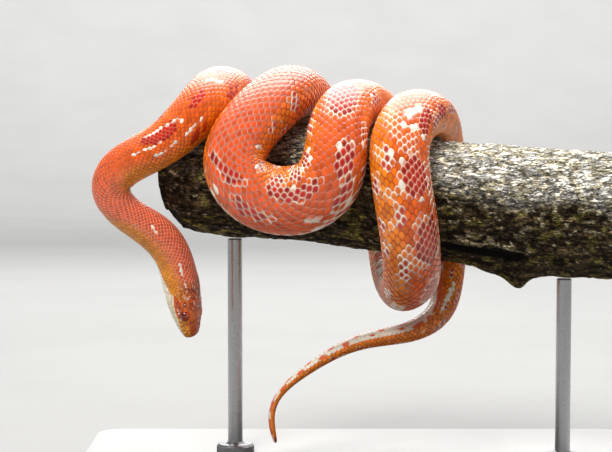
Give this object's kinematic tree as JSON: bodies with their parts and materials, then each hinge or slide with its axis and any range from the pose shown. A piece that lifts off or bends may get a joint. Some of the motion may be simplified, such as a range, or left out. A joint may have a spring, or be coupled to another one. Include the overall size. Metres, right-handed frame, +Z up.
{
  "type": "corn snake on a branch perch, museum display model",
  "caption": "Life-size corn snake looped over a short cut branch, head hanging, tail trailing, on a plain rod stand.",
  "frame": {"origin": "centre of the stand base's underside, on the floor", "axes": "+X along the branch away from the snake's head, -Y the front of the pose, +Z up"},
  "size_m": [0.27, 0.127, 0.1934],
  "materials": {
    "snake_orange": "satin scaled skin",
    "snake_red": "satin scaled skin",
    "eye_ruby": "wet gloss",
    "bark": "rough furrowed bark",
    "painted_steel": "satin paint",
    "brushed_steel": "brushed"
  },
  "bodies": {
    "root": {"head": "snake_orange", "eye_left": "eye_ruby", "eye_right": "eye_ruby", "neck": "snake_orange", "body_rise": "snake_red", "body_back_turn": "snake_orange", "body_loop_left": "snake_red", "body_loop_right": "snake_orange", "body_descent": "snake_red", "body_under_turn": "snake_orange", "body_ascent": "snake_red", "body_taper": "snake_orange", "tail_base": "snake_red", "tail_middle": "snake_orange", "tail_tip": "snake_red", "branch": "bark", "stand_base": "painted_steel", "stand_rod_left": "brushed_steel", "stand_rod_right": "brushed_steel"}
  },
  "joints": []
}
